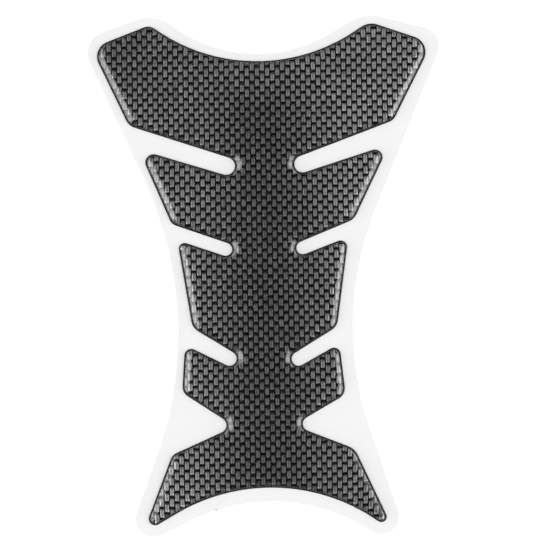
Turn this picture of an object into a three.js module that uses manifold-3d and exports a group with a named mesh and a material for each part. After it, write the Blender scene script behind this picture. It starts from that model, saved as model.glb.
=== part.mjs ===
// Motorcycle tank pad: a clear resin dome over a printed weave, on a self-adhesive film that lies on
// its release liner. Millimetres, +Z up out of the pad's face, +Y from the tail to the shoulders.
// The origin is under the middle of the liner.

import * as THREE from 'three';
import { mergeVertices } from 'three/addons/utils/BufferGeometryUtils.js';
import Module from 'manifold-3d';

// Layers, from the bottom up
const LINER_THICKNESS = 0.2;
const FILM_THICKNESS = 0.3;
const PRINT_THICKNESS = 0.04;
const DOME_HEIGHT = 1.8;

// The bare film round the print, and how far in from its foot the dome reaches its full height
const FILM_BORDER = 0.45;
const DOME_RIM_WIDTH = 3;
const DOME_RIM_STEPS = 6;

// The weave: upright columns of tows, each crowned in its middle, with every other column half a
// repeat further along. The offset puts a crown beside the centre line. The ink gets darker from a
// crown to a gap, down to a share of its colour.
const TOW_COLUMN_PITCH = 2.19;
const TOW_REPEAT = 4.5;
const TOW_CROWN = 0.03;
const GAP_SHADE = 0.1;
const WEAVE_OFFSET = { x: 0.15, y: -0.6 };

// How far a chord may lie inside its arc, the radius below which an inset corner is left sharp, and how
// close two points of an outline may lie
const ARC_TOLERANCE = 0.03;
const SMALLEST_ROUND = 0.3;
const SMALLEST_EDGE = 0.01;

// The pad from peak to tail, across its shoulders and across its tail
const PAD_LENGTH = 214.4;
const PAD_WIDTH = 141.2;
const TAIL_WIDTH = 102.3;

// Round corners of the pad. On each side x is measured outwards from the pad's centre line, and y from
// the middle of its length. Peaks and tails end the length, shoulders the width and tails the tail's.
// A slot has a round root and two straight lips, whose rise is the angle in degrees at which they climb
// on their way out. Each lip ends in a round rib tip. The liner's corners are the pad's, moved by out
// and up with a radius that grows, and its waist is the narrowest point with the radius of the hollow
// side.
const RIGHT_SIDE = {
  peak: { x: 47.5, radius: 7.8 },
  shoulder: { y: 94.7, radius: 6.9 },
  slots: [
    {
      root: { x: 17.1, y: 47.2, radius: 3.6 },
      above: { rise: 20.2, x: 52.6, radius: 5.3 },
      below: { rise: 17.4, x: 48.2, radius: 3.3 },
    },
    {
      root: { x: 16.7, y: 11.2, radius: 2.8 },
      above: { rise: 22.0, x: 34.6, radius: 5.8 },
      below: { rise: 20.7, x: 32.9, radius: 2.8 },
    },
    {
      root: { x: 14.2, y: -36.5, radius: 3.0 },
      above: { rise: 31.2, x: 25.4, radius: 6.0 },
      below: { rise: 28.8, x: 29.5, radius: 2.8 },
    },
    {
      root: { x: 18.7, y: -64.5, radius: 3.1 },
      above: { rise: 29.7, x: 28.7, radius: 5.2 },
      below: { rise: -21.7, x: 32.3, radius: 7.5 },
    },
  ],
  tail: { radius: 2.3 },
  liner: {
    peak: { out: 0.0, up: -8.0, grow: 11.3 },
    shoulder: { out: 4.6, up: 2.4, grow: 1.1 },
    waist: { x: 37.6, y: -24.9, radius: 138 },
    tail: { out: 0.0, up: 0.0, grow: 5.2 },
  },
};
const LEFT_SIDE = {
  peak: { x: 48.6, radius: 4.9 },
  shoulder: { y: 94.5, radius: 6.8 },
  slots: [
    {
      root: { x: 15.8, y: 46.8, radius: 3.8 },
      above: { rise: 18.4, x: 52.8, radius: 6.3 },
      below: { rise: 17.3, x: 46.9, radius: 3.6 },
    },
    {
      root: { x: 16.5, y: 11.0, radius: 2.8 },
      above: { rise: 19.5, x: 36.3, radius: 4.3 },
      below: { rise: 19.1, x: 34.1, radius: 2.5 },
    },
    {
      root: { x: 15.5, y: -36.0, radius: 3.1 },
      above: { rise: 31.9, x: 25.5, radius: 6.2 },
      below: { rise: 26.6, x: 31.9, radius: 3.0 },
    },
    {
      root: { x: 20.5, y: -64.6, radius: 3.3 },
      above: { rise: 33.5, x: 30.8, radius: 5.0 },
      below: { rise: -23.8, x: 36.9, radius: 4.8 },
    },
  ],
  tail: { radius: 2.8 },
  liner: {
    peak: { out: 0.0, up: -8.0, grow: 11.6 },
    shoulder: { out: 1.7, up: 1.6, grow: 2.3 },
    waist: { x: 37.3, y: -22.9, radius: 158 },
    tail: { out: 0.6, up: 0.0, grow: 5.0 },
  },
};

// Hollow ends of the pad: where each is deepest, and how deep. The liner's reach past them by a margin.
const TOP_SCALLOP = { x: -1.1, depth: 15.5, linerMargin: 3 };
const BOTTOM_SCALLOP = { x: 0.7, depth: 15.5, linerMargin: 6 };

const wasm = await Module();
wasm.setup();

// A corner is a circle that its two straight edges touch. A tip's circle lies in the material. A root's
// lies outside it, and its radius is negative.
const tip = ({ x, y, radius }) => ({ x, y, radius });
const root = ({ x, y, radius }) => ({ x, y, radius: -radius });

// Middle of the tip that ends a slot's lip, on the upper side of the slot (+1) or the lower side (-1)
function lipTip(slotRoot, lip, side) {
  const rise = THREE.MathUtils.degToRad(lip.rise);
  const away = side * (slotRoot.radius + lip.radius);
  const climb = away + Math.sin(rise) * (lip.x - slotRoot.x);
  return { x: lip.x, y: slotRoot.y + climb / Math.cos(rise), radius: lip.radius };
}

// Hollow end that opens upwards (+1) or downwards (-1) between two tips: the arc through its deepest
// point that touches the nearer tip
function scallopRoot({ x, depth }, upwards, tips) {
  const apex = upwards * (PAD_LENGTH / 2 - depth);
  const touching = tips.map((end) => {
    const rise = upwards * (end.y - apex);
    return (end.x - x) ** 2 / (2 * (rise + end.radius)) + (rise - end.radius) / 2;
  });
  const radius = Math.min(...touching);
  return root({ x, y: apex + upwards * radius, radius });
}

// A side's three tips that end the pad's length and widths
const peakTip = ({ x, radius }) => tip({ x, y: PAD_LENGTH / 2 - radius, radius });
const shoulderTip = ({ y, radius }) => tip({ x: PAD_WIDTH / 2 - radius, y, radius });
const tailTip = ({ radius }) => tip({ x: TAIL_WIDTH / 2 - radius, y: radius - PAD_LENGTH / 2, radius });

// One side's corners, from the peak down to the tail
function sideCorners(side) {
  const ribs = side.slots.flatMap((slot) => [
    tip(lipTip(slot.root, slot.above, 1)),
    root(slot.root),
    tip(lipTip(slot.root, slot.below, -1)),
  ]);
  return [peakTip(side.peak), shoulderTip(side.shoulder), ...ribs, tailTip(side.tail)];
}

// The same corners on the left of the centre line
const mirrored = (corners) => corners.map((corner) => ({ ...corner, x: -corner.x }));

// A whole outline, anticlockwise from the hollow at the top
function joinSides(right, leftSide, topScallop, bottomScallop) {
  const left = mirrored(leftSide);
  const top = scallopRoot(topScallop, 1, [right[0], left[0]]);
  const bottom = scallopRoot(bottomScallop, -1, [right.at(-1), left.at(-1)]);
  return [top, ...left, bottom, ...right.toReversed()];
}

function padCorners() {
  return joinSides(sideCorners(RIGHT_SIDE), sideCorners(LEFT_SIDE), TOP_SCALLOP, BOTTOM_SCALLOP);
}

// The liner's corner round one of the pad's
function linerTip(corner, { out, up, grow }) {
  return tip({ x: corner.x + out, y: corner.y + up, radius: corner.radius + grow });
}

function linerSide({ peak, shoulder, tail, liner }) {
  const { x, y, radius } = liner.waist;
  return [
    linerTip(peakTip(peak), liner.peak),
    linerTip(shoulderTip(shoulder), liner.shoulder),
    root({ x: x + radius, y, radius }),
    linerTip(tailTip(tail), liner.tail),
  ];
}

// The liner's hollow end outside one of the pad's
const linerScallop = ({ x, depth, linerMargin }) => ({ x, depth: depth - linerMargin });

function linerCorners() {
  const top = linerScallop(TOP_SCALLOP);
  const bottom = linerScallop(BOTTOM_SCALLOP);
  return joinSides(linerSide(RIGHT_SIDE), linerSide(LEFT_SIDE), top, bottom);
}

// Direction of the straight edge that touches two corners, with the material on its left
function edgeHeading(from, to) {
  const dx = to.x - from.x;
  const dy = to.y - from.y;
  const slope = (to.radius - from.radius) / Math.hypot(dx, dy);
  return Math.atan2(dy, dx) - Math.asin(THREE.MathUtils.clamp(slope, -1, 1));
}

// Turn from one heading to the next, from -PI to PI
function turnBetween(from, to) {
  return THREE.MathUtils.euclideanModulo(to - from + Math.PI, 2 * Math.PI) - Math.PI;
}

// Chords that a corner's arc needs
function arcSteps(radius, turn) {
  const step = 2 * Math.acos(1 - Math.min(1, ARC_TOLERANCE / Math.abs(radius)));
  return Math.max(2, Math.ceil(Math.abs(turn) / step));
}

// Outline that runs round the corners in turn, moved into the material by an inset. A corner keeps its
// number of points at any inset, and where its arc has shrunk away they all lie where its edges meet.
function outlineRound(corners, inset = 0) {
  const headings = corners.map((corner, i) => edgeHeading(corner, corners[(i + 1) % corners.length]));
  const outline = corners.flatMap((corner, i) => {
    const start = headings.at(i - 1);
    const turn = turnBetween(start, headings[i]);
    const radius = corner.radius - inset;
    const sharp = corner.radius > 0 && radius < SMALLEST_ROUND;
    const steps = arcSteps(corner.radius, turn);
    return Array.from({ length: steps + 1 }, (_, step) => {
      const heading = start + turn * (sharp ? 1 / 2 : step / steps);
      const reach = sharp ? radius / Math.cos(turn / 2) : radius;
      return new THREE.Vector2(
        corner.x + reach * Math.sin(heading),
        corner.y - reach * Math.cos(heading),
      );
    });
  });
  // Points that nearly coincide become one, so that no sliver is left between them
  outline.forEach((point, i) => {
    const previous = outline.at(i - 1);
    if (point.distanceTo(previous) < SMALLEST_EDGE) {
      point.copy(previous);
    }
  });
  return outline;
}

// Triangles that cap an outline, as numbers of its points
function capTriangles(outline) {
  const kept = outline.map((_, i) => i).filter((i) => !outline[i].equals(outline.at(i - 1)));
  const triangles = THREE.ShapeUtils.triangulateShape(kept.map((i) => outline[i]), []);
  return triangles.map((triangle) => triangle.map((corner) => kept[corner]));
}

// Closed solid whose section changes from level to level, each an inset and a height, bottom first
function loft(corners, levels) {
  const outlines = levels.map(({ inset }) => outlineRound(corners, inset));
  const size = outlines[0].length;
  const positions = outlines.flatMap((outline, i) => outline.flatMap(({ x, y }) => [x, y, levels[i].z]));
  const indices = capTriangles(outlines[0]).flatMap(([a, b, c]) => [a, c, b]);
  for (let level = 1; level < levels.length; level += 1) {
    const lower = outlines[level - 1];
    const upper = outlines[level];
    for (let i = 0; i < size; i += 1) {
      const next = (i + 1) % size;
      const below = (level - 1) * size;
      const above = level * size;
      if (!lower[i].equals(lower[next])) {
        indices.push(below + i, below + next, above + next);
      }
      if (!upper[i].equals(upper[next])) {
        indices.push(below + i, above + next, above + i);
      }
    }
  }
  const top = (levels.length - 1) * size;
  indices.push(...capTriangles(outlines.at(-1)).flat().map((i) => top + i));
  return closedGeometry(positions, indices);
}

function closedGeometry(positions, indices) {
  const geometry = new THREE.BufferGeometry();
  geometry.setAttribute('position', new THREE.Float32BufferAttribute(positions, 3));
  geometry.setIndex(indices);
  return mergeVertices(geometry);
}

// Flat sheet between two heights
function sheet(corners, inset, bottom, top) {
  return loft(corners, [{ inset, z: bottom }, { inset, z: top }]);
}

function toSolid(geometry) {
  const vertProperties = geometry.getAttribute('position').array;
  const triVerts = Uint32Array.from(geometry.getIndex().array);
  return new wasm.Manifold(new wasm.Mesh({ numProp: 3, vertProperties, triVerts }));
}

function fromSolid(solid) {
  const { vertProperties, triVerts } = solid.getMesh();
  const geometry = new THREE.BufferGeometry();
  geometry.setAttribute('position', new THREE.BufferAttribute(vertProperties, 3));
  geometry.setIndex(new THREE.BufferAttribute(triVerts, 1));
  return geometry;
}

// Block over a box's plan whose top is the weave: a low pyramid on each crown, and every point between
// crowns lower by the crown's height
function weaveBlock(plan, bottom, top) {
  const halfRepeat = TOW_REPEAT / 2;
  const firstColumn = Math.floor((plan.min.x - WEAVE_OFFSET.x) / TOW_COLUMN_PITCH) - 1;
  const lastColumn = Math.ceil((plan.max.x - WEAVE_OFFSET.x) / TOW_COLUMN_PITCH) + 1;
  const firstRow = Math.floor((plan.min.y - WEAVE_OFFSET.y) / halfRepeat) - 1;
  const lastRow = Math.ceil((plan.max.y - WEAVE_OFFSET.y) / halfRepeat) + 1;
  const rows = lastRow - firstRow + 1;
  const columns = lastColumn - firstColumn + 1;
  const isCrown = (column, row) => (column + row) % 2 === 0;
  const positions = [];
  const indices = [];
  for (let column = firstColumn; column <= lastColumn; column += 1) {
    for (let row = firstRow; row <= lastRow; row += 1) {
      const x = WEAVE_OFFSET.x + column * TOW_COLUMN_PITCH;
      const y = WEAVE_OFFSET.y + row * halfRepeat;
      const height = isCrown(column, row) ? top : top - TOW_CROWN;
      positions.push(x, y, height, x, y, bottom);
    }
  }
  // Each point of the grid has its top vertex first and its bottom vertex next
  const upper = (column, row) => 2 * (column * rows + row);
  const lower = (column, row) => upper(column, row) + 1;
  const quad = (a, b, c, d) => indices.push(a, b, c, a, c, d);
  for (let column = 0; column < columns - 1; column += 1) {
    for (let row = 0; row < rows - 1; row += 1) {
      const near = [upper(column, row), upper(column + 1, row)];
      const far = [upper(column, row + 1), upper(column + 1, row + 1)];
      // The cell is split between its two low points
      if (isCrown(firstColumn + column, firstRow + row)) {
        quad(near[1], far[1], far[0], near[0]);
      } else {
        quad(near[0], near[1], far[1], far[0]);
      }
      quad(lower(column, row), lower(column, row + 1), lower(column + 1, row + 1), lower(column + 1, row));
    }
  }
  const wall = (from, to) => quad(lower(...from), lower(...to), upper(...to), upper(...from));
  for (let column = 0; column < columns - 1; column += 1) {
    wall([column, 0], [column + 1, 0]);
    wall([column + 1, rows - 1], [column, rows - 1]);
  }
  for (let row = 0; row < rows - 1; row += 1) {
    wall([0, row + 1], [0, row]);
    wall([columns - 1, row], [columns - 1, row + 1]);
  }
  return closedGeometry(positions, indices);
}

// Shades a geometry's points from the gaps' height up to the crowns'
function shadeByHeight(geometry, gap, crown) {
  const position = geometry.getAttribute('position');
  const shades = [];
  for (let i = 0; i < position.count; i += 1) {
    const height = THREE.MathUtils.clamp((position.getZ(i) - gap) / (crown - gap), 0, 1);
    const shade = THREE.MathUtils.lerp(GAP_SHADE, 1, height);
    shades.push(shade, shade, shade);
  }
  geometry.setAttribute('color', new THREE.Float32BufferAttribute(shades, 3));
}

// Heights at which the layers meet
const LINER_TOP = LINER_THICKNESS;
const FILM_TOP = LINER_TOP + FILM_THICKNESS;
const PRINT_TOP = FILM_TOP + PRINT_THICKNESS;

const PAD_CORNERS = padCorners();
const LINER_CORNERS = linerCorners();

function releaseLiner() {
  return sheet(LINER_CORNERS, 0, 0, LINER_TOP);
}

function adhesiveFilm() {
  return sheet(PAD_CORNERS, 0, LINER_TOP, FILM_TOP);
}

// The ink fills the field inside the film's border, up to the weave. The weave's block starts lower than
// the field, so that only its top cuts.
function weavePrint() {
  const field = sheet(PAD_CORNERS, FILM_BORDER, FILM_TOP, PRINT_TOP + TOW_CROWN);
  field.computeBoundingBox();
  const weave = weaveBlock(field.boundingBox, LINER_TOP, PRINT_TOP);
  const print = fromSolid(toSolid(field).intersect(toSolid(weave)));
  shadeByHeight(print, PRINT_TOP - TOW_CROWN, PRINT_TOP);
  return print;
}

// The rim climbs as a quarter of an ellipse, and the top is level
function gelDome() {
  const levels = Array.from({ length: DOME_RIM_STEPS + 1 }, (_, step) => {
    const angle = (step / DOME_RIM_STEPS) * (Math.PI / 2);
    const inset = FILM_BORDER + DOME_RIM_WIDTH * (1 - Math.cos(angle));
    return { inset, z: PRINT_TOP + DOME_HEIGHT * Math.sin(angle) };
  });
  return loft(PAD_CORNERS, levels);
}

const PAPER = new THREE.MeshStandardMaterial({ color: 0xf3f3f1, roughness: 0.45, metalness: 0 });
const BLACK_FILM = new THREE.MeshStandardMaterial({ color: 0x121213, roughness: 0.4, metalness: 0 });
const WEAVE_INK = new THREE.MeshStandardMaterial({
  color: 0x78787a,
  roughness: 0.5,
  metalness: 0,
  vertexColors: true,
});
const CLEAR_RESIN = new THREE.MeshStandardMaterial({
  color: 0xffffff,
  roughness: 0.05,
  metalness: 0,
  transparent: true,
  opacity: 0.2,
});

function piece(name, geometry, material) {
  const mesh = new THREE.Mesh(geometry, material);
  mesh.name = name;
  return mesh;
}

const pad = new THREE.Group();
pad.add(
  piece('release_liner', releaseLiner(), PAPER),
  piece('adhesive_film', adhesiveFilm(), BLACK_FILM),
  piece('weave_print', weavePrint(), WEAVE_INK),
  piece('gel_dome', gelDome(), CLEAR_RESIN),
);

// The middle of the liner stands over the origin
const linerPlan = new THREE.Box2().setFromPoints(outlineRound(LINER_CORNERS));
const linerMiddle = linerPlan.getCenter(new THREE.Vector2());
pad.position.set(-linerMiddle.x, -linerMiddle.y, 0);

const tankPad = new THREE.Group();
tankPad.add(pad);

export default tankPad;
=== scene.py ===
"""Looks of a motorcycle tank pad: release liner, black film, printed weave and a clear resin dome."""

import math

import bmesh
import bpy
from bpy.props import FloatProperty, FloatVectorProperty, IntProperty, PointerProperty
from mathutils import Matrix, Vector


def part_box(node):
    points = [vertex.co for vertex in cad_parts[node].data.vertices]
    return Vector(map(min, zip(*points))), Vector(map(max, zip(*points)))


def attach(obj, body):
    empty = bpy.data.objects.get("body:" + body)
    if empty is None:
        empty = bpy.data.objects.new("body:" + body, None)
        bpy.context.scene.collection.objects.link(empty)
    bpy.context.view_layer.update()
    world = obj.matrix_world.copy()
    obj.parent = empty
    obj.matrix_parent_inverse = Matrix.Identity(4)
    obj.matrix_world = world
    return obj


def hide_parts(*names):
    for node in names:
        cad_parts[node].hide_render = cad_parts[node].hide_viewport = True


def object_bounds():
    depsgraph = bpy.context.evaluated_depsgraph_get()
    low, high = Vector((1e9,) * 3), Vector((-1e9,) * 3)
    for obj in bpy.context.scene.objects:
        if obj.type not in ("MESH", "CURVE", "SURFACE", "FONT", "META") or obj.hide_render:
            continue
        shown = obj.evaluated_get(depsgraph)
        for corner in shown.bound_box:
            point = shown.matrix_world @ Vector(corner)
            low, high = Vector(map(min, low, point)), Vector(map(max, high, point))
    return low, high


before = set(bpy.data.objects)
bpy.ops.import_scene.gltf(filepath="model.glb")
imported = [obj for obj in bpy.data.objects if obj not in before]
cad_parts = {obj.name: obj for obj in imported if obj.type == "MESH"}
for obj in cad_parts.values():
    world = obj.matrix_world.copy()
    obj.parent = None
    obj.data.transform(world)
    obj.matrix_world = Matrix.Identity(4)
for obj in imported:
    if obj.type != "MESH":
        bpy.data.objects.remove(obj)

bl_info = {
    "name": "Tank Pad",
    "version": (1, 0, 0),
    "blender": (4, 5, 0),
    "location": "View3D > Sidebar > Tank Pad",
    "description": "Builds the looks of a motorcycle tank pad round its solid model",
    "category": "Object",
}

BODY = "root"
MM = 0.001

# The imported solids' own box, before anything is added to them
CAD_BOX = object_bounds()

# Points of a solid that are closer than this are one point
WELD = 1e-6

# Two heights of a solid closer than this are the same height
SAME_HEIGHT = 2e-6

# Faces that meet at less than this angle are one flat face
FLAT_ANGLE = math.radians(0.05)

# Places along the pad between which the weave's painted light changes to the level painted at the shoulders
PAINTED_LIGHT_SHOULDERS = (65.0 * MM, 95.0 * MM)

# Painted light and shade on each tow's ink, along it from its foot at -1 to its head at 1, and away from its
# middle
# to its side at 1: painted shade at the head, a painted highlight at the foot and painted shade down the
# middle.
# Each is where the change starts and ends, then the tone at its start and at its end.
HEAD_SHADE = (0.3, 0.8, 1.0, 0.9)
FOOT_LIGHT = (-0.8, -0.45, 2.0, 1.0)
TOW_MIDDLE_SHADE = (0.05, 0.5, 0.52, 1.0)

# Shape of a tow, in shares of its size: how far its crown drops at its sides and at its ends, how much
# more than that at its head and less at its foot, and how far its corners are drawn in
SIDE_DROP = 0.2
END_DROP = 0.12
HEAD_DROP = 0.06
CORNER_IN_ACROSS = 0.06
CORNER_IN_ALONG = 0.04

# A tow's ends and corners fall away with this power of the distance from its middle
FALL_POWER = 4.0

# Points of a tow's block across, along and upwards
TOW_POINTS = (5, 6, 2)

# Height of a tow's underside, as a share of the thickness of the black ink that it stands in
TOW_FOOT = 0.5

# A tow is made where its middle is nearer to the field than this share of its length
TOW_REACH = 0.75

# Height of the block that cuts the tows at the field's edge, as a share of the print's height
CUTTER_HEIGHT = 2.0

# The filaments' grain changes this much slower along a tow than across it
FILAMENT_STRETCH = 0.05

# Share of the paper's mark, from its middle, that has its full colour
MARK_CORE = 0.5

# Steps round the rounded edge of the paper and the film
EDGE_STEPS = 3

# Range of the small differences in tone between tows
TOW_TONES = (0.88, 1.12)

# Rows and columns of tows beyond the print's own box, so that the turned grid covers it
SPARE_TOWS = 5

# The floor lies this far under the liner, so that their faces don't meet
FLOOR_GAP = 0.02 * MM

# Share of the light that the floor gives back, and the glow on it that only the camera sees
FLOOR_WHITE = 0.85
FLOOR_GLOW = 0.25


def length(name, description, default):
    """A size in metres, shown in the scene's own unit."""
    return FloatProperty(
        name=name, description=description, default=default, subtype="DISTANCE", unit="LENGTH", precision=5
    )


def share(name, description, default):
    """A plain number from 0 to 1."""
    return FloatProperty(name=name, description=description, default=default, min=0, max=1, subtype="FACTOR")


def colour(name, description, default):
    """A linear colour with its alpha."""
    return FloatVectorProperty(
        name=name, description=description, default=(*default, 1.0), size=4, subtype="COLOR", min=0, max=1
    )


class LinerSizes(bpy.types.PropertyGroup):
    """Coated paper that the pad is sold on."""

    edge_round: length("Edge round", "Radius of the crushed upper edge", 0.09 * MM)
    paper: colour("Paper", "Colour of the coated paper", (0.95, 0.95, 0.945))
    in_gloss: share("In gloss", "How bright gloss mirrors the paper, against the paper itself", 0.5)
    speck_colour: colour("Speck", "Colour of the small mark at the edge", (0.2, 0.19, 0.18))
    speck_x: length("Speck X", "Place of the mark across the pad", -22.85 * MM)
    speck_y: length("Speck Y", "Place of the mark along the pad", -100.3 * MM)
    speck_radius: length("Speck radius", "Size of the mark", 0.55 * MM)


class FilmSizes(bpy.types.PropertyGroup):
    """Black self-adhesive film under the print."""

    edge_round: length("Edge round", "Radius of the cut upper edge", 0.05 * MM)
    black: colour("Black", "Colour of the film", (0.007, 0.007, 0.0075))


class WeaveSizes(bpy.types.PropertyGroup):
    """Printed weave: upright columns of grey tows on black."""

    column_pitch: length("Column pitch", "Distance from one column of tows to the next", 2.19 * MM)
    tow_repeat: length("Tow repeat", "Distance from one tow to the next in its column", 4.499 * MM)
    tow_width: length("Tow width", "Width of one tow", 1.78 * MM)
    tow_length: length("Tow length", "Length of one tow", 3.6 * MM)
    ground: length("Ground", "Thickness of the black ink between the tows", 0.012 * MM)
    offset_x: length("Offset X", "Place of one tow's middle across the pad", -0.443 * MM)
    offset_y: length("Offset Y", "Place of one tow's middle along the pad", 0.16 * MM)
    margin: length("Margin", "Black ink left free of tows round the print", 0.5 * MM)
    shift: length("Shift", "How far the tows' field is printed off centre, towards the shoulders", 0.08 * MM)
    turn: FloatProperty(
        name="Turn",
        description="Angle of the columns to the pad's length",
        default=math.radians(0.13),
        subtype="ANGLE",
        unit="ROTATION",
    )
    seed: IntProperty(name="Seed", description="Seed of the small differences between tows", default=4)
    tow_ink: colour("Tow ink", "Colour of the brightest tows", (0.435, 0.435, 0.435))
    # Painted light and shade by place: tows painted darker down the pad's middle, lighter towards its sides
    # and shoulders
    painted_pad_middle_shade: share("Middle tone", "Tone of the tows down the pad's middle, against the brightest", 0.43)
    painted_shoulder_light: share("Top tone", "Tone of the tows at the shoulders, against the brightest", 0.85)
    painted_shade_half_width: length("Dark middle", "Half width of the darker middle", 2.0 * MM)
    painted_light_reach: length("Full tone", "Distance from the middle to the brightest tows", 38.0 * MM)
    twist: FloatProperty(
        name="Twist", description="Gain in tone for each metre to the right times each metre up", default=45.0
    )
    ground_ink: colour("Ground ink", "Colour between the tows", (0.006, 0.006, 0.0065))


class DomeSizes(bpy.types.PropertyGroup):
    """Clear resin poured over the print."""

    rim_cuts: IntProperty(
        name="Rim cuts", description="Rings added between two of the solid's", default=3, min=0
    )
    sink: length("Sink", "How far the resin wets down past the print's crowns", 0.035 * MM)
    index: FloatProperty(name="Index", description="Index of refraction of the resin", default=1.49, min=1)
    coat_index: FloatProperty(
        name="Coat index", description="Index of refraction of the resin's gloss", default=1.6, min=1
    )


class StageSizes(bpy.types.PropertyGroup):
    """Camera, light and floor."""

    floor_reach: length("Floor reach", "Half of the floor's side", 6.0)
    camera_height: length("Camera height", "Height of the camera over the floor", 3.0)
    panel_light: FloatProperty(
        name="Panel light", description="Strength of the side panels as they light the pad", default=2.45
    )
    panel_shine: FloatProperty(
        name="Panel shine", description="Strength of the side panels as gloss mirrors them", default=3.1
    )
    ambient: share("Ambient", "Strength of the rest of the room's light", 0.4)
    ambient_shine: share("Ambient shine", "How bright the rest of the room is in gloss", 0.02)


def sizes(group):
    """The scene's values of one property group."""
    return getattr(bpy.context.scene.tank_pad, group)


# Node trees


def put(tree, kind, inputs=None, **settings):
    """Adds a node. An input is named by its place or its identifier, and takes a value or a link."""
    made = tree.nodes.new(kind)
    for name, value in settings.items():
        setattr(made, name, value)
    for key, value in (inputs or {}).items():
        sockets = made.inputs
        socket = sockets[key] if isinstance(key, int) else next(s for s in sockets if s.identifier == key)
        if isinstance(value, bpy.types.NodeSocket):
            tree.links.new(value, socket)
        else:
            socket.default_value = value
    return made


def maths(tree, operation, *values):
    """Result of a number operation."""
    return put(tree, "ShaderNodeMath", dict(enumerate(values)), operation=operation).outputs[0]


def vector(tree, operation, *values):
    """Result of a vector operation that gives a vector."""
    return put(tree, "ShaderNodeVectorMath", dict(enumerate(values)), operation=operation).outputs[0]


def remap(tree, value, low, high, out_low, out_high):
    """A value's range moved smoothly to another."""
    inputs = {"Value": value, "From Min": low, "From Max": high, "To Min": out_low, "To Max": out_high}
    return put(tree, "ShaderNodeMapRange", inputs, interpolation_type="SMOOTHSTEP").outputs[0]


def split(tree, value):
    """X, Y and Z of a vector."""
    return put(tree, "ShaderNodeSeparateXYZ", {0: value}).outputs


def join(tree, x=0.0, y=0.0, z=0.0):
    """Vector of three numbers."""
    return put(tree, "ShaderNodeCombineXYZ", {0: x, 1: y, 2: z}).outputs[0]


def scaled_colour(tree, tint, factor):
    """A colour times a number that changes over the surface."""
    inputs = {"Vector": tint[:3], "Scale": factor}
    return put(tree, "ShaderNodeVectorMath", inputs, operation="SCALE").outputs[0]


def object_place(tree):
    """Place on the object, in metres."""
    return put(tree, "ShaderNodeTexCoord").outputs["Object"]


def new_material(name):
    """A material whose tree holds only a Principled BSDF and its output."""
    material = bpy.data.materials.new(name)
    material.use_nodes = True
    tree = material.node_tree
    tree.nodes.clear()
    shader = put(tree, "ShaderNodeBsdfPrincipled")
    put(tree, "ShaderNodeOutputMaterial", {"Surface": shader.outputs[0]})
    return material, tree, shader.inputs


def grain_group():
    """Fine grain for inks, film and paper: a value round 1 and a height round 0."""
    tree = bpy.data.node_groups.new("fine_grain", "ShaderNodeTree")
    for name, kind, in_out in (
        ("Place", "NodeSocketVector", "INPUT"),
        ("Grains per Metre", "NodeSocketFloat", "INPUT"),
        ("Amount", "NodeSocketFloat", "INPUT"),
        ("Detail", "NodeSocketFloat", "INPUT"),
        ("Value", "NodeSocketFloat", "OUTPUT"),
        ("Height", "NodeSocketFloat", "OUTPUT"),
    ):
        tree.interface.new_socket(name, in_out=in_out, socket_type=kind)
    given = put(tree, "NodeGroupInput").outputs
    inputs = {"Vector": given[0], "Scale": given[1], "Detail": given[3]}
    noise = put(tree, "ShaderNodeTexNoise", inputs).outputs[0]
    height = maths(tree, "SUBTRACT", noise, 0.5)
    value = maths(tree, "MULTIPLY_ADD", height, given[2], 1.0)
    put(tree, "NodeGroupOutput", {0: value, 1: height})
    return tree


def grain(tree, place, per_metre, amount, detail=4.0):
    """Places the grain group: its value and its height."""
    group = bpy.data.node_groups.get("fine_grain") or grain_group()
    inputs = {0: place, 1: per_metre, 2: amount, 3: detail}
    return put(tree, "ShaderNodeGroup", inputs, node_tree=group).outputs


def bump(tree, height, distance):
    """Normal of a surface raised by a height."""
    return put(tree, "ShaderNodeBump", {"Height": height, "Distance": distance, "Strength": 1.0}).outputs[0]


# Copies of solids


def welded_copy(node):
    """A solid's mesh with its loose triangles joined."""
    shape = bmesh.new()
    shape.from_mesh(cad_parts[node].data)
    bmesh.ops.remove_doubles(shape, verts=shape.verts, dist=WELD)
    return shape


def whole_faces(shape):
    """Merges the triangles of each flat face."""
    bmesh.ops.dissolve_limit(
        shape, angle_limit=FLAT_ANGLE, use_dissolve_boundaries=False, verts=shape.verts, edges=shape.edges
    )


def to_object(shape, name, *materials):
    """An object at the origin with a mesh and its materials."""
    mesh = bpy.data.meshes.new(name)
    shape.to_mesh(mesh)
    shape.free()
    piece = bpy.data.objects.new(name, mesh)
    bpy.context.scene.collection.objects.link(piece)
    for material in materials:
        mesh.materials.append(material)
    return piece


def apply_modifiers(piece):
    """Turns what the modifiers make into the piece's own mesh."""
    graph = bpy.context.evaluated_depsgraph_get()
    made = bpy.data.meshes.new_from_object(piece.evaluated_get(graph), depsgraph=graph)
    if not made.polygons:
        raise RuntimeError(f"{piece.name} came out empty")
    made.name = piece.data.name
    piece.modifiers.clear()
    piece.data = made


def smooth_between_flats(piece):
    """Smooth shading whose normals follow the large flat faces."""
    piece.data.shade_smooth()
    weighted = piece.modifiers.new("weighted", "WEIGHTED_NORMAL")
    weighted.mode = "FACE_AREA"
    weighted.weight = 100
    weighted.keep_sharp = True


def stand_for(piece, node):
    """The piece rides with the pad in place of a solid."""
    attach(piece, BODY)
    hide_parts(node)


def rounded_sheet(node, name, radius, material):
    """A flat solid's copy whose upper edge is rounded."""
    shape = welded_copy(node)
    whole_faces(shape)
    top = max(v.co.z for v in shape.verts)
    weight = shape.edges.layers.float.new("bevel_weight_edge")
    for edge in shape.edges:
        if all(abs(v.co.z - top) < SAME_HEIGHT for v in edge.verts):
            edge[weight] = 1.0
    piece = to_object(shape, name, material)
    bevel = piece.modifiers.new("edge", "BEVEL")
    bevel.limit_method = "WEIGHT"
    bevel.width = radius
    bevel.segments = EDGE_STEPS
    bevel.use_clamp_overlap = False
    smooth_between_flats(piece)
    apply_modifiers(piece)
    return piece


# Materials


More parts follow.
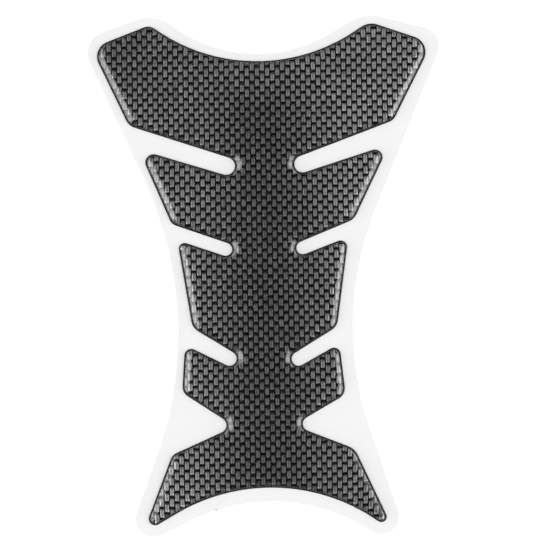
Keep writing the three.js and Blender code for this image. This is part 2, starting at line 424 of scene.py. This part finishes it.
def paper_material():
    """Coated paper: faint fibres, a soft shine and one small mark. Gloss mirrors it as less bright."""
    s = sizes("liner")
    material, tree, shader = new_material("coated_paper")
    place = object_place(tree)
    cloud = grain(tree, place, per_metre=45.0, amount=0.03)
    fibre = grain(tree, place, per_metre=4000.0, amount=0.02)
    mirrored = put(tree, "ShaderNodeLightPath").outputs["Is Glossy Ray"]
    weaker = maths(tree, "MULTIPLY_ADD", mirrored, s.in_gloss - 1.0, 1.0)
    tone = maths(tree, "MULTIPLY", maths(tree, "MULTIPLY", cloud[0], fibre[0]), weaker)
    paper = scaled_colour(tree, s.paper, tone)
    away = vector(tree, "SUBTRACT", place, (s.speck_x, s.speck_y, 0.0))
    flat = vector(tree, "MULTIPLY", away, (1.0, 1.0, 0.0))
    reach = put(tree, "ShaderNodeVectorMath", {0: flat}, operation="LENGTH").outputs["Value"]
    mark = remap(tree, reach, s.speck_radius * MARK_CORE, s.speck_radius, 1.0, 0.0)
    inputs = {"Factor_Float": mark, "A_Color": paper, "B_Color": s.speck_colour}
    mixed = put(tree, "ShaderNodeMix", inputs, data_type="RGBA").outputs[2]
    tree.links.new(mixed, shader["Base Color"])
    tree.links.new(bump(tree, fibre[1], 0.004 * MM), shader["Normal"])
    shader["Roughness"].default_value = 0.5
    shader["Specular IOR Level"].default_value = 0.3
    return material


def film_material():
    """Black film with a fine satin grain."""
    s = sizes("film")
    material, tree, shader = new_material("black_film")
    fine = grain(tree, object_place(tree), per_metre=9000.0, amount=0.3)
    tree.links.new(scaled_colour(tree, s.black, fine[0]), shader["Base Color"])
    tree.links.new(bump(tree, fine[1], 0.002 * MM), shader["Normal"])
    shader["Roughness"].default_value = 0.4
    shader["Specular IOR Level"].default_value = 0.3
    return material


def ground_material():
    """Black ink between the tows."""
    s = sizes("weave")
    material, tree, shader = new_material("black_ink")
    fine = grain(tree, object_place(tree), per_metre=12000.0, amount=0.4)
    tree.links.new(scaled_colour(tree, s.ground_ink, fine[0]), shader["Base Color"])
    shader["Roughness"].default_value = 0.6
    shader["Specular IOR Level"].default_value = 0.1
    return material


def tow_material():
    """Grey ink of the tows: filaments along each tow and a tone of its own.

    Painted light and shade: a highlight at each tow's foot, shade at its head and down its middle, and the
    tows painted darker down the pad's middle and lighter towards its sides and shoulders.
    """
    s = sizes("weave")
    material, tree, shader = new_material("tow_ink")
    tow_place = put(tree, "ShaderNodeAttribute", attribute_name="tow_place").outputs["Vector"]
    across, along, _ = split(tree, tow_place)
    own = put(tree, "ShaderNodeAttribute", attribute_name="tow_tone").outputs["Fac"]
    place = object_place(tree)
    stretched = vector(tree, "MULTIPLY", place, (1.0, FILAMENT_STRETCH, 1.0))
    filaments = grain(tree, stretched, per_metre=9000.0, amount=0.5)
    fine = grain(tree, place, per_metre=14000.0, amount=0.25)
    # Painted shade at each tow's head and down its middle, and a painted highlight at its foot
    head = remap(tree, along, *HEAD_SHADE)
    foot = remap(tree, along, *FOOT_LIGHT)
    painted_tow_middle_shade = remap(tree, maths(tree, "ABSOLUTE", across), *TOW_MIDDLE_SHADE)
    x, y, _ = split(tree, place)
    # Painted light and shade by place: darker down the pad's middle, lighter towards its sides and at the
    # shoulders, tilted by the twist
    painted_side_light = remap(tree, maths(tree, "ABSOLUTE", x), s.painted_shade_half_width, s.painted_light_reach, s.painted_pad_middle_shade, 1.0)
    at_top = remap(tree, y, *PAINTED_LIGHT_SHOULDERS, 0.0, 1.0)
    level = put(tree, "ShaderNodeMix", {"Factor_Float": at_top, "A_Float": painted_side_light, "B_Float": s.painted_shoulder_light})
    painted_twist_light = maths(tree, "MULTIPLY", x, maths(tree, "MULTIPLY", y, s.twist))
    painted_light_by_place = maths(tree, "MULTIPLY", level.outputs[0], maths(tree, "ADD", 1.0, painted_twist_light))
    tone = head
    for factor in (foot, painted_tow_middle_shade, painted_light_by_place, own, filaments[0], fine[0]):
        tone = maths(tree, "MULTIPLY", tone, factor)
    tree.links.new(scaled_colour(tree, s.tow_ink, tone), shader["Base Color"])
    tree.links.new(bump(tree, filaments[1], 0.01 * MM), shader["Normal"])
    shader["Roughness"].default_value = 0.34
    shader["Metallic"].default_value = 0.75
    return material


def resin_material():
    """Clear, glossy resin whose surface waves a little."""
    s = sizes("dome")
    material, tree, shader = new_material("clear_resin")
    wave = grain(tree, object_place(tree), per_metre=60.0, amount=0.0, detail=0.0)
    tree.links.new(bump(tree, wave[1], 0.03 * MM), shader["Normal"])
    shader["Base Color"].default_value = (1.0, 1.0, 1.0, 1.0)
    shader["Roughness"].default_value = 0.02
    shader["IOR"].default_value = s.index
    shader["Transmission Weight"].default_value = 1.0
    shader["Coat Weight"].default_value = 1.0
    shader["Coat Roughness"].default_value = 0.02
    shader["Coat IOR"].default_value = s.coat_index
    return material


# Weave tree


def shape_input(tree, name, kind):
    """Adds an input to a geometry tree."""
    tree.interface.new_socket(name, in_out="INPUT", socket_type=kind)


def prism(tree, face, height):
    """Closed solid that stands on a flat face."""
    raised = put(tree, "GeometryNodeExtrudeMesh", {0: face, 2: join(tree, z=1.0), 3: height, 4: False})
    base = put(tree, "GeometryNodeFlipFaces", {0: face}).outputs[0]
    both = put(tree, "GeometryNodeJoinGeometry")
    tree.links.new(raised.outputs[0], both.inputs[0])
    tree.links.new(base, both.inputs[0])
    return put(tree, "GeometryNodeMergeByDistance", {0: both.outputs[0], 2: WELD}).outputs[0]


def tow_template(tree, wide, long, tall):
    """One tow: a low crown whose ends dive and whose corners are drawn in.

    Each point stores its place across and along the tow, from -1 to 1.
    """
    inputs = {0: join(tree, wide, long, tall), **dict(enumerate(TOW_POINTS, 1))}
    block = put(tree, "GeometryNodeMeshCube", inputs).outputs[0]
    x, y, z = split(tree, put(tree, "GeometryNodeInputPosition").outputs[0])
    across = maths(tree, "DIVIDE", x, maths(tree, "MULTIPLY", wide, 0.5))
    along = maths(tree, "DIVIDE", y, maths(tree, "MULTIPLY", long, 0.5))
    across_far = maths(tree, "POWER", maths(tree, "ABSOLUTE", across), FALL_POWER)
    along_far = maths(tree, "POWER", maths(tree, "ABSOLUTE", along), FALL_POWER)
    stored = put(
        tree,
        "GeometryNodeStoreNamedAttribute",
        {"Geometry": block, "Name": "tow_place", "Value": join(tree, across, along)},
        data_type="FLOAT_VECTOR",
    ).outputs[0]
    drop_across = maths(tree, "MULTIPLY", maths(tree, "MULTIPLY", across, across), SIDE_DROP)
    drop_along = maths(tree, "MULTIPLY", along_far, maths(tree, "MULTIPLY_ADD", along, HEAD_DROP, END_DROP))
    kept = maths(
        tree, "MULTIPLY", maths(tree, "SUBTRACT", 1.0, drop_across), maths(tree, "SUBTRACT", 1.0, drop_along)
    )
    half = maths(tree, "MULTIPLY", tall, 0.5)
    crown = maths(tree, "SUBTRACT", maths(tree, "MULTIPLY", tall, kept), half)
    is_top = maths(tree, "GREATER_THAN", z, 0.0)
    upper = maths(tree, "MULTIPLY", is_top, crown)
    under = maths(tree, "MULTIPLY", maths(tree, "SUBTRACT", 1.0, is_top), maths(tree, "MULTIPLY", half, -1.0))
    new_z = maths(tree, "ADD", upper, under)
    new_x = maths(tree, "MULTIPLY", x, maths(tree, "MULTIPLY_ADD", along_far, -CORNER_IN_ACROSS, 1.0))
    new_y = maths(tree, "MULTIPLY", y, maths(tree, "MULTIPLY_ADD", across_far, -CORNER_IN_ALONG, 1.0))
    moved = put(tree, "GeometryNodeSetPosition", {0: stored, 2: join(tree, new_x, new_y, new_z)}).outputs[0]
    return put(tree, "GeometryNodeSetShadeSmooth", {0: moved, 2: True}, domain="FACE").outputs[0]


def weave_tree():
    """Tows on a half-drop grid, cut off at the field's edge, on a sheet of black ink."""
    tree = bpy.data.node_groups.new("printed_weave", "GeometryNodeTree")
    shape_input(tree, "Field", "NodeSocketGeometry")
    for name in ("Column Pitch", "Tow Repeat", "Tow Width", "Tow Length", "Print Height", "Ground Height"):
        shape_input(tree, name, "NodeSocketFloat")
    shape_input(tree, "Turn", "NodeSocketFloat")
    shape_input(tree, "Offset", "NodeSocketVector")
    for name in ("Columns", "Rows", "Seed"):
        shape_input(tree, name, "NodeSocketInt")
    for name in ("Ground Ink", "Tow Ink"):
        shape_input(tree, name, "NodeSocketMaterial")
    tree.interface.new_socket("Weave", in_out="OUTPUT", socket_type="NodeSocketGeometry")
    given = put(tree, "NodeGroupInput").outputs
    field, pitch, repeat = given["Field"], given["Column Pitch"], given["Tow Repeat"]
    wide, long, height = given["Tow Width"], given["Tow Length"], given["Print Height"]
    ground_height = given["Ground Height"]
    columns, rows = given["Columns"], given["Rows"]

    reach_x = maths(tree, "MULTIPLY", maths(tree, "SUBTRACT", columns, 1.0), pitch)
    reach_y = maths(tree, "MULTIPLY", maths(tree, "SUBTRACT", rows, 1.0), repeat)
    grid = put(tree, "GeometryNodeMeshGrid", {0: reach_x, 1: reach_y, 2: columns, 3: rows}).outputs[0]
    x = split(tree, put(tree, "GeometryNodeInputPosition").outputs[0])[0]
    column = maths(tree, "ROUND", maths(tree, "DIVIDE", x, pitch))
    odd = maths(tree, "FLOORED_MODULO", column, 2.0)
    drop = maths(tree, "MULTIPLY", maths(tree, "MULTIPLY", odd, repeat), 0.5)
    dropped = put(tree, "GeometryNodeSetPosition", {0: grid, 3: join(tree, y=drop)}).outputs[0]
    inputs = {0: dropped, 1: given["Offset"], 2: join(tree, z=given["Turn"])}
    turned = put(tree, "GeometryNodeTransform", inputs).outputs[0]

    near = put(tree, "GeometryNodeProximity", {"Target": field}, target_element="FACES").outputs[1]
    chosen = maths(tree, "LESS_THAN", near, maths(tree, "MULTIPLY", long, TOW_REACH))
    sunk = maths(tree, "MULTIPLY", ground_height, TOW_FOOT)
    tall = maths(tree, "SUBTRACT", height, sunk)
    template = tow_template(tree, wide, long, tall)
    middle = maths(tree, "MULTIPLY_ADD", tall, 0.5, sunk)
    lifted = put(tree, "GeometryNodeTransform", {0: template, 1: join(tree, z=middle)}).outputs[0]
    placed = put(tree, "GeometryNodeInstanceOnPoints", {0: turned, 1: chosen, 2: lifted}).outputs[0]
    inputs = {"Min_001": TOW_TONES[0], "Max_001": TOW_TONES[1], "Seed": given["Seed"]}
    random = put(tree, "FunctionNodeRandomValue", inputs, data_type="FLOAT")
    tone = next(s for s in random.outputs if s.identifier == "Value_001")
    toned = put(
        tree,
        "GeometryNodeStoreNamedAttribute",
        {"Geometry": placed, "Name": "tow_tone", "Value": tone},
        data_type="FLOAT",
        domain="INSTANCE",
    ).outputs[0]
    loose = put(tree, "GeometryNodeRealizeInstances", {0: toned}).outputs[0]

    marked = put(tree, "GeometryNodeInputNamedAttribute", {"Name": "tow_field"}, data_type="FLOAT").outputs[0]
    inner = put(tree, "GeometryNodeSeparateGeometry", {0: field, 1: marked}, domain="FACE").outputs[0]
    cutter = prism(tree, inner, maths(tree, "MULTIPLY", height, CUTTER_HEIGHT))
    cut = put(tree, "GeometryNodeMeshBoolean", operation="INTERSECT", solver="MANIFOLD")
    tree.links.new(loose, cut.inputs[1])
    tree.links.new(cutter, cut.inputs[1])
    tows = put(tree, "GeometryNodeSetMaterial", {0: cut.outputs[0], 2: given["Tow Ink"]}).outputs[0]
    sheet = prism(tree, field, ground_height)
    ground = put(tree, "GeometryNodeSetMaterial", {0: sheet, 2: given["Ground Ink"]}).outputs[0]
    both = put(tree, "GeometryNodeJoinGeometry")
    tree.links.new(tows, both.inputs[0])
    tree.links.new(ground, both.inputs[0])
    real = put(tree, "GeometryNodeRealizeInstances", {0: both.outputs[0]}).outputs[0]
    put(tree, "NodeGroupOutput", {0: real})
    return tree


def print_field(margin, shift):
    """Flat underside of the print's solid, turned upwards at height 0, and its real height.

    The part of it that takes the tows is marked.
    """
    shape = welded_copy("weave_print")
    bottom = min(v.co.z for v in shape.verts)
    upper = [f for f in shape.faces if any(v.co.z - bottom > SAME_HEIGHT for v in f.verts)]
    bmesh.ops.delete(shape, geom=upper, context="FACES")
    bmesh.ops.reverse_faces(shape, faces=shape.faces)
    for vert in shape.verts:
        vert.co.z = 0.0
    marked = shape.faces.layers.float.new("tow_field")
    for face in shape.faces:
        face[marked] = 1.0
    ring = bmesh.ops.inset_region(
        shape, faces=shape.faces, thickness=margin, use_boundary=True, use_even_offset=True
    )
    for face in ring["faces"]:
        face[marked] = 0.0
    for vert in shape.verts:
        if any(face[marked] for face in vert.link_faces):
            vert.co.y += shift
    return shape, bottom


# Dome


def ellipse_height(share_in):
    """Height of the rim, as a share of the dome's, at a share of the way in."""
    return math.sqrt(max(0.0, 1 - (1 - share_in) ** 2))


def rim_heights(shape):
    """The different heights of a shape's points, lowest first."""
    heights = []
    for z in sorted(v.co.z for v in shape.verts):
        if not heights or z - heights[-1] > SAME_HEIGHT:
            heights.append(z)
    return heights


def finer_rim(shape, cuts):
    """Adds rings to the dome's rim and lifts them onto the ellipse that the solid's rings lie on."""
    heights = rim_heights(shape)
    low, high = heights[0], heights[-1]
    tall = high - low
    way_in = [1 - math.sqrt(max(0.0, 1 - ((z - low) / tall) ** 2)) for z in heights]
    rings = {}
    for i in range(len(heights) - 1):
        angles = [math.acos(1 - w) for w in (way_in[i], way_in[i + 1])]
        for k in range(1, cuts + 1):
            angle = angles[0] + (angles[1] - angles[0]) * k / (cuts + 1)
            part = (1 - math.cos(angle) - way_in[i]) / (way_in[i + 1] - way_in[i])
            cut_z = heights[i] + (heights[i + 1] - heights[i]) * part
            rings[cut_z] = low + tall * ellipse_height(1 - math.cos(angle))
    for cut_z in rings:
        everything = [*shape.verts, *shape.edges, *shape.faces]
        bmesh.ops.bisect_plane(
            shape, geom=everything, dist=WELD / 10, plane_co=(0, 0, cut_z), plane_no=(0, 0, 1)
        )
    for vert in shape.verts:
        nearest = min(rings, key=lambda z: abs(z - vert.co.z))
        if abs(nearest - vert.co.z) < WELD / 2:
            vert.co.z = rings[nearest]


class PAD_OT_liner(bpy.types.Operator):
    """Makes the release liner of coated paper"""

    bl_idname = "tank_pad.liner"
    bl_label = "Release liner"

    def execute(self, context):
        piece = rounded_sheet("release_liner", "liner_sheet", sizes("liner").edge_round, paper_material())
        stand_for(piece, "release_liner")
        return {"FINISHED"}


class PAD_OT_film(bpy.types.Operator):
    """Makes the black adhesive film"""

    bl_idname = "tank_pad.film"
    bl_label = "Adhesive film"

    def execute(self, context):
        piece = rounded_sheet("adhesive_film", "film_sheet", sizes("film").edge_round, film_material())
        stand_for(piece, "adhesive_film")
        return {"FINISHED"}


class PAD_OT_weave(bpy.types.Operator):
    """Makes the printed weave, tow by tow"""

    bl_idname = "tank_pad.weave"
    bl_label = "Printed weave"

    def execute(self, context):
        s = sizes("weave")
        low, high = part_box("weave_print")
        shape, bottom = print_field(s.margin, s.shift)
        inks = (ground_material(), tow_material())
        piece = to_object(shape, "weave_tows", *inks)
        tree = weave_tree()
        modifier = piece.modifiers.new("weave", "NODES")
        modifier.node_group = tree
        reach = high - low
        values = {
            "Column Pitch": s.column_pitch,
            "Tow Repeat": s.tow_repeat,
            "Tow Width": s.tow_width,
            "Tow Length": s.tow_length,
            "Print Height": reach.z,
            "Ground Height": s.ground,
            "Turn": s.turn,
            "Offset": (s.offset_x, s.offset_y, 0.0),
            "Columns": 2 * math.ceil(reach.x / s.column_pitch / 2) + SPARE_TOWS,
            "Rows": 2 * math.ceil(reach.y / s.tow_repeat / 2) + SPARE_TOWS,
            "Seed": s.seed,
            "Ground Ink": inks[0],
            "Tow Ink": inks[1],
        }
        for item in tree.interface.items_tree:
            if item.in_out == "INPUT" and item.name in values:
                modifier[item.identifier] = values[item.name]
        apply_modifiers(piece)
        piece.data.transform(Matrix.Translation((0, 0, bottom)))
        stand_for(piece, "weave_print")
        return {"FINISHED"}


class PAD_OT_dome(bpy.types.Operator):
    """Makes the clear resin dome with a smooth rim"""

    bl_idname = "tank_pad.dome"
    bl_label = "Resin dome"

    def execute(self, context):
        s = sizes("dome")
        shape = welded_copy("gel_dome")
        finer_rim(shape, s.rim_cuts)
        bottom = min(v.co.z for v in shape.verts)
        for vert in shape.verts:
            if vert.co.z - bottom < SAME_HEIGHT:
                vert.co.z -= s.sink
        whole_faces(shape)
        piece = to_object(shape, "resin_dome", resin_material())
        smooth_between_flats(piece)
        apply_modifiers(piece)
        stand_for(piece, "gel_dome")
        return {"FINISHED"}


# Stage


# Where the pad's origin lies in the picture, the pad's scale there and its turn
PICTURE_SIDE = 550
ORIGIN_PIXEL = (266.35, 276.23)
PIXEL = 0.43 * MM
PICTURE_TURN = math.radians(0.8)
SENSOR = 0.036

# The room's side panels stand towards the pad's tail by this angle. Their soft edges are given as
# the cosine of the angle from the panel's middle, and as that of the angle from straight up. The
# left panel reaches further up.
PANEL_AIM = math.radians(-12)
PANEL_TURN = (0.766, 0.985)
LEFT_PANEL_TOP = (0.955, 0.9993)
RIGHT_PANEL_TOP = (0.84, 0.994)

# Low light to the sides and towards the shoulders, which only gloss sees, as a share of the panels'
LOW_AIM = math.radians(12)
LOW_TURN = (0.64, 0.9)
LOW_TOP = (0.35, 0.7)
LOW_SHARE = 0.8

# Near the horizon gloss sees the panels as dimmer, so that the resin isn't blown out from the side
HORIZON = (0.12, 0.32)
HORIZON_SHARE = 0.28


def picture_point(column, row):
    """Point of the pad's plane that the picture shows at a pixel."""
    across = (column - ORIGIN_PIXEL[0]) * PIXEL
    up = (ORIGIN_PIXEL[1] - row) * PIXEL
    return Matrix.Rotation(-PICTURE_TURN, 2) @ Vector((across, up))


def floor_material():
    """White paper floor that shows as plain white and keeps the shadow."""
    material, tree, _ = new_material("white_floor")
    tree.nodes.clear()
    seen = put(tree, "ShaderNodeLightPath").outputs["Is Camera Ray"]
    diffuse = put(tree, "ShaderNodeBsdfDiffuse", {0: (FLOOR_WHITE, FLOOR_WHITE, FLOOR_WHITE, 1.0)}).outputs[0]
    strength = maths(tree, "MULTIPLY", seen, FLOOR_GLOW)
    glow = put(tree, "ShaderNodeEmission", {0: (1, 1, 1, 1), 1: strength}).outputs[0]
    both = put(tree, "ShaderNodeAddShader", {0: diffuse, 1: glow}).outputs[0]
    put(tree, "ShaderNodeOutputMaterial", {"Surface": both})
    return material


def beside(tree, direction, aim, turn):
    """How far a direction lies within a panel's turn, on the left or the right: 0 outside it, 1 inside."""
    x, y, z = split(tree, direction)
    level = maths(tree, "SQRT", maths(tree, "SUBTRACT", 1.0, maths(tree, "MULTIPLY", z, z)))
    along = maths(tree, "MULTIPLY", y, math.sin(aim))
    aimed = maths(tree, "MULTIPLY_ADD", maths(tree, "ABSOLUTE", x), math.cos(aim), along)
    return remap(tree, maths(tree, "DIVIDE", aimed, maths(tree, "MAXIMUM", level, 0.001)), *turn, 0.0, 1.0)


def room_light(s):
    """Room with a soft panel to the left and one to the right. It shows as plain white to the camera.

    Gloss sees the panels brighter than they light the pad, so that the paper isn't overexposed.
    """
    world = bpy.data.worlds.new("room")
    world.use_nodes = True
    bpy.context.scene.world = world
    tree = world.node_tree
    tree.nodes.clear()
    direction = put(tree, "ShaderNodeTexCoord").outputs["Generated"]
    x, _, z = split(tree, direction)
    to_side = beside(tree, direction, PANEL_AIM, PANEL_TURN)
    low_side = beside(tree, direction, LOW_AIM, LOW_TURN)
    is_right = maths(tree, "GREATER_THAN", x, 0.0)
    tops = [remap(tree, z, *top, 1.0, 0.0) for top in (LEFT_PANEL_TOP, RIGHT_PANEL_TOP)]
    inputs = {"Factor_Float": is_right, "A_Float": tops[0], "B_Float": tops[1]}
    below_top = put(tree, "ShaderNodeMix", inputs).outputs[0]
    panel = maths(tree, "MULTIPLY", to_side, below_top)
    low = maths(tree, "MULTIPLY", low_side, remap(tree, z, *LOW_TOP, LOW_SHARE, 0.0))
    dimmed = remap(tree, z, *HORIZON, HORIZON_SHARE, 1.0)
    mirror = maths(tree, "MULTIPLY", maths(tree, "MAXIMUM", panel, low), dimmed)
    path = put(tree, "ShaderNodeLightPath").outputs
    clear = maths(tree, "SUBTRACT", 1.0, path["Is Transmission Ray"])
    mirrored = maths(tree, "MULTIPLY", path["Is Glossy Ray"], clear)
    light = put(tree, "ShaderNodeMapRange", {"Value": panel, "To Min": s.ambient, "To Max": s.panel_light})
    inputs = {"Value": mirror, "To Min": s.ambient_shine, "To Max": s.panel_shine}
    shine = put(tree, "ShaderNodeMapRange", inputs)
    inputs = {"Factor_Float": mirrored, "A_Float": light.outputs[0], "B_Float": shine.outputs[0]}
    indoors = put(tree, "ShaderNodeMix", inputs).outputs[0]
    inputs = {"Factor_Float": path["Is Camera Ray"], "A_Float": indoors, "B_Float": 1.0}
    seen = put(tree, "ShaderNodeMix", inputs).outputs[0]
    glow = put(tree, "ShaderNodeBackground", {0: (1, 1, 1, 1), 1: seen}).outputs[0]
    put(tree, "ShaderNodeOutputWorld", {0: glow})


class PAD_OT_stage(bpy.types.Operator):
    """Makes the floor, the room's light and the camera over the pad"""

    bl_idname = "tank_pad.stage"
    bl_label = "Stage"

    def execute(self, context):
        s = sizes("stage")
        scene = context.scene
        scene.view_settings.view_transform = "Standard"
        shape = bmesh.new()
        bmesh.ops.create_grid(shape, x_segments=1, y_segments=1, size=s.floor_reach)
        floor = to_object(shape, "floor", floor_material())
        floor.data.transform(Matrix.Translation((0, 0, CAD_BOX[0].z - FLOOR_GAP)))
        room_light(s)

        middle = picture_point(PICTURE_SIDE / 2, PICTURE_SIDE / 2)
        data = bpy.data.cameras.new("camera")
        data.sensor_width = SENSOR / MM
        data.lens = SENSOR / MM * s.camera_height / (PICTURE_SIDE * PIXEL)
        data.clip_end = 100.0
        camera = bpy.data.objects.new("camera", data)
        camera.location = (middle.x, middle.y, s.camera_height)
        camera.rotation_euler = (0, 0, -PICTURE_TURN)
        scene.collection.objects.link(camera)
        scene.camera = camera
        return {"FINISHED"}


OPERATORS = (PAD_OT_liner, PAD_OT_film, PAD_OT_weave, PAD_OT_dome, PAD_OT_stage)


class TankPad(bpy.types.PropertyGroup):
    """All the sizes and colours of the pad."""

    liner: PointerProperty(type=LinerSizes)
    film: PointerProperty(type=FilmSizes)
    weave: PointerProperty(type=WeaveSizes)
    dome: PointerProperty(type=DomeSizes)
    stage: PointerProperty(type=StageSizes)


class PAD_PT_sidebar(bpy.types.Panel):
    """Lists the pad's pieces, sizes and colours"""

    bl_label = "Tank Pad"
    bl_space_type = "VIEW_3D"
    bl_region_type = "UI"
    bl_category = "Tank Pad"

    def draw(self, context):
        for operator in OPERATORS:
            box = self.layout.box()
            box.operator(operator.bl_idname)
            group = getattr(context.scene.tank_pad, operator.bl_idname.split(".")[1])
            for name in group.__annotations__:
                box.prop(group, name)


CLASSES = (
    LinerSizes,
    FilmSizes,
    WeaveSizes,
    DomeSizes,
    StageSizes,
    TankPad,
    *OPERATORS,
    PAD_PT_sidebar,
)


def register():
    for each in CLASSES:
        bpy.utils.register_class(each)
    bpy.types.Scene.tank_pad = PointerProperty(type=TankPad)


def unregister():
    del bpy.types.Scene.tank_pad
    for each in reversed(CLASSES):
        bpy.utils.unregister_class(each)


def main():
    register()
    bpy.ops.tank_pad.liner()
    bpy.ops.tank_pad.film()
    bpy.ops.tank_pad.weave()
    bpy.ops.tank_pad.dome()
    bpy.ops.tank_pad.stage()


if __name__ == "__main__":
    main()
